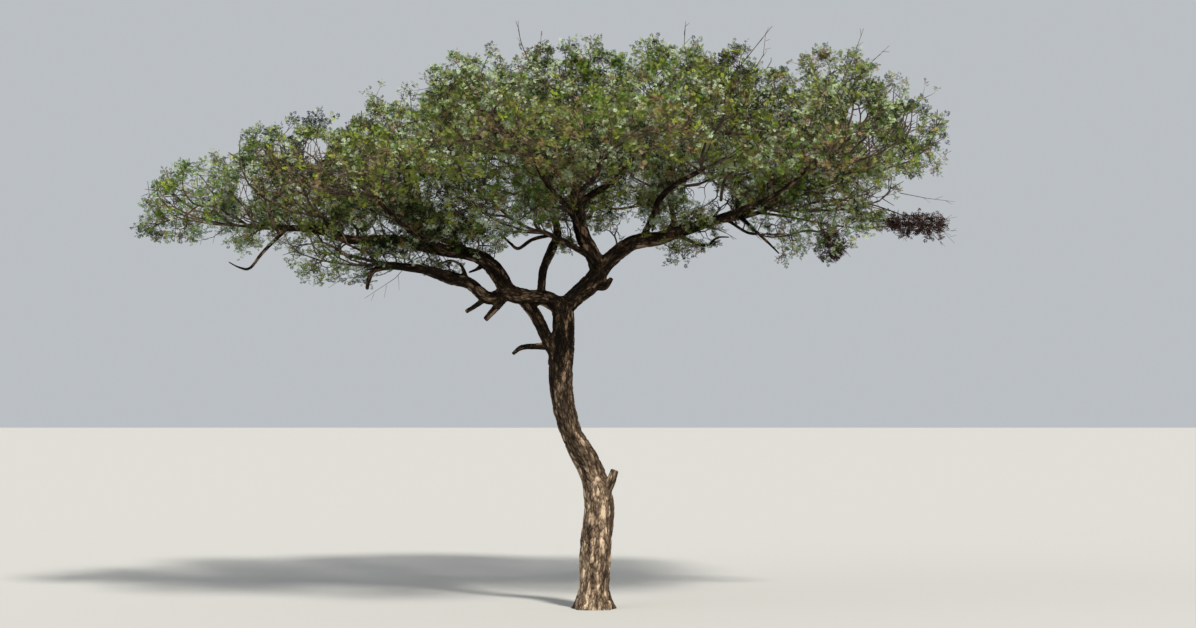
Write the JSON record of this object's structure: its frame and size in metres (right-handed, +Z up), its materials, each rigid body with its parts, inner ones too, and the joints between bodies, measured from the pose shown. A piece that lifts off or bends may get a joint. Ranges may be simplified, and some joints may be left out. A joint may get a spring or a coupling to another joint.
{
  "type": "acacia tree",
  "caption": "Whole umbrella thorn acacia: a bent bare trunk, spreading forked boughs and a wide, flat-topped crown of fine foliage.",
  "frame": {"origin": "middle of the flat cut under the trunk, at ground level", "axes": "+Z up; +X along the crown's longest way, to the side of the long right bough; +Y away from the picture's camera"},
  "size_m": [10.505, 9.2691, 7.467],
  "materials": {
    "bark": "rough, furrowed bark",
    "foliage": "matt leaves",
    "dead_foliage": "dry, matt"
  },
  "bodies": {
    "root": {"back_centre_left_foliage": "foliage", "back_centre_right_bough": "bark", "back_centre_right_foliage": "foliage", "back_left_bough": "bark", "back_left_foliage": "foliage", "back_right_bough": "bark", "back_right_foliage": "foliage", "brown_end_bough": "bark", "brown_end_foliage": "dead_foliage", "centre_foliage": "foliage", "centre_left_foliage": "foliage", "centre_right_foliage": "foliage", "cross_bough": "bark", "far_back_bough": "bark", "far_back_foliage": "foliage", "far_front_bough": "bark", "far_front_foliage": "foliage", "far_right_foliage": "foliage", "front_centre_left_bough": "bark", "front_centre_left_foliage": "foliage", "front_centre_right_foliage": "foliage", "front_left_bough": "bark", "front_left_foliage": "foliage", "front_right_bough": "bark", "front_right_foliage": "foliage", "hanging_tuft_bough": "bark", "hanging_tuft_foliage": "foliage", "inner_bough": "bark", "inner_left_bough": "bark", "inner_left_foliage": "foliage", "left_bough": "bark", "left_low_bough": "bark", "left_low_foliage": "foliage", "left_shoulder_bough": "bark", "left_shoulder_foliage": "foliage", "left_tip_foliage": "foliage", "low_centre_foliage": "foliage", "low_left_bough": "bark", "lower_left_foliage": "foliage", "lower_right_bough": "bark", "lower_right_foliage": "foliage", "middle_bough": "bark", "right_bough": "bark", "right_fork": "bark", "right_low_bough": "bark", "right_low_foliage": "foliage", "right_tip_bough": "bark", "right_tip_foliage": "foliage", "right_upper_bough": "bark", "second_stem": "bark", "trunk": "bark", "upper_left_bough": "bark", "upper_left_foliage": "foliage", "upper_right_bough": "bark", "upper_right_foliage": "foliage", "upright_bough": "bark", "upright_left_bough": "bark", "upright_right_bough": "bark"}
  },
  "joints": []
}
